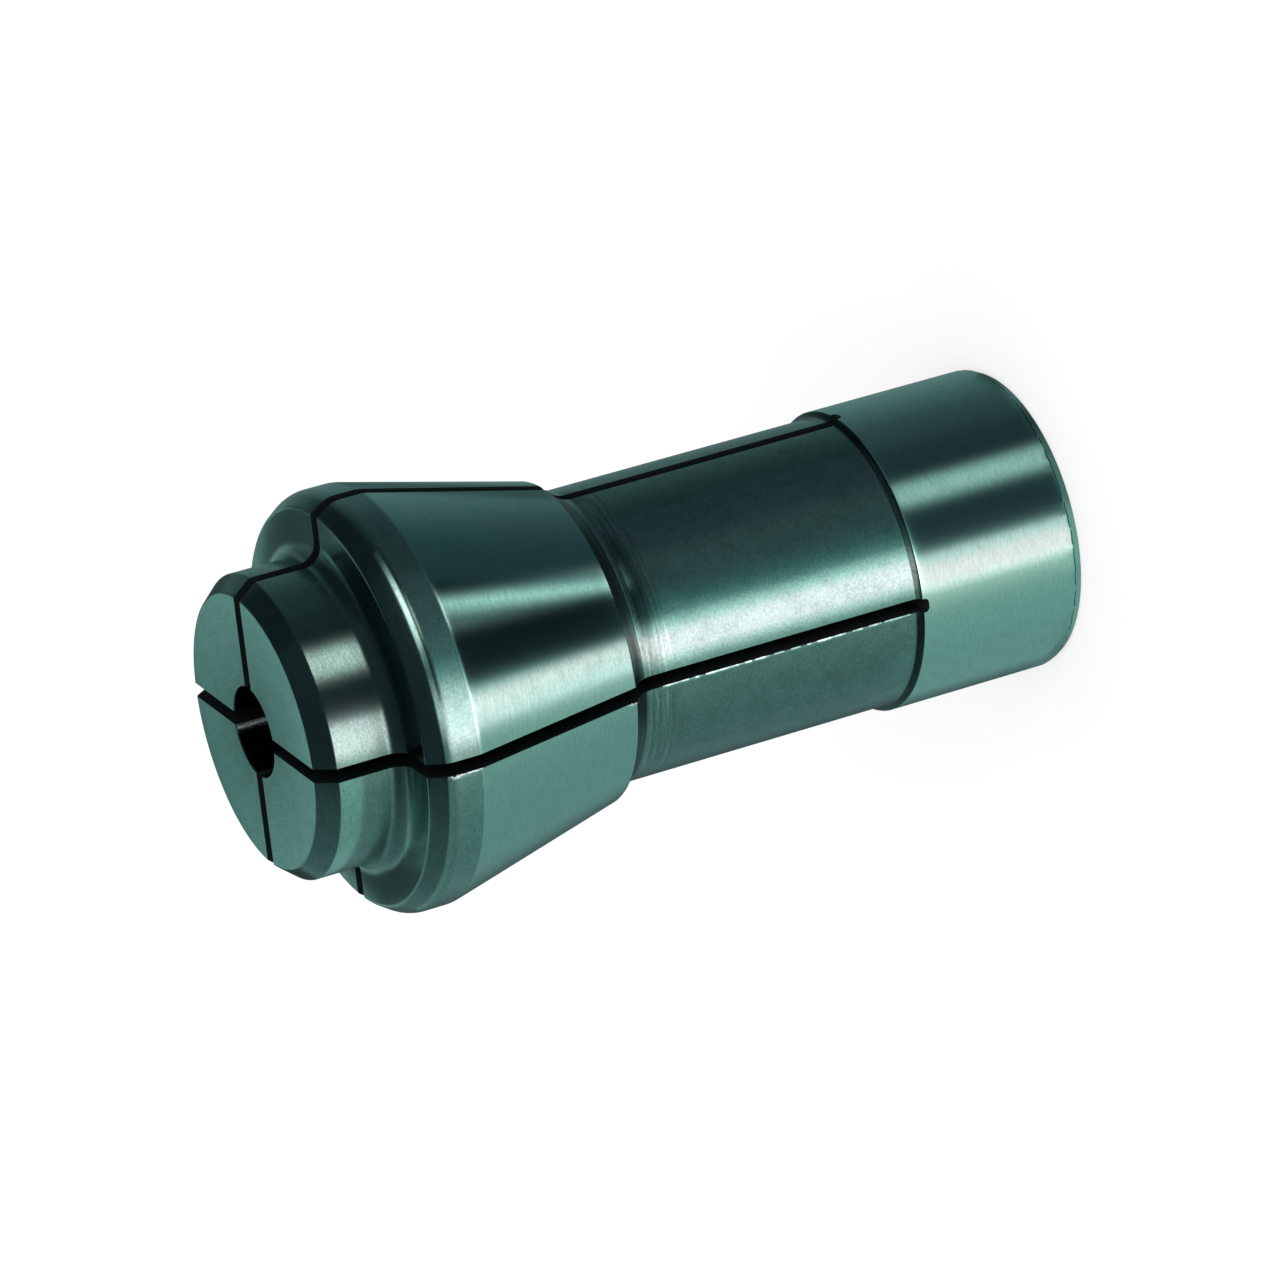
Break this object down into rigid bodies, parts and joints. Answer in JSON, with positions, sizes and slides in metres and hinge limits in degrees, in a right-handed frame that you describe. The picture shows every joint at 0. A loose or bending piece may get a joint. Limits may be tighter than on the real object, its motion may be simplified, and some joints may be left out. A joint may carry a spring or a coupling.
{
  "type": "die grinder collet",
  "caption": "Slit spring collet for a small die grinder: turned nose, shouldered head with a seat taper, slim shank and closed collar, bored to grip a tool shank.",
  "frame": {"origin": "centre of the rear face of the collar, on the collet's axis", "axes": "+Z along the collet's axis towards the nose; two opposite slits lie in the XZ plane and two in the YZ plane"},
  "size_m": [0.014, 0.014, 0.0276],
  "materials": {
    "steel": "turned and ground, satin on the shank, polished on the taper and collar"
  },
  "bodies": {
    "root": {"collet": "steel"}
  },
  "joints": []
}
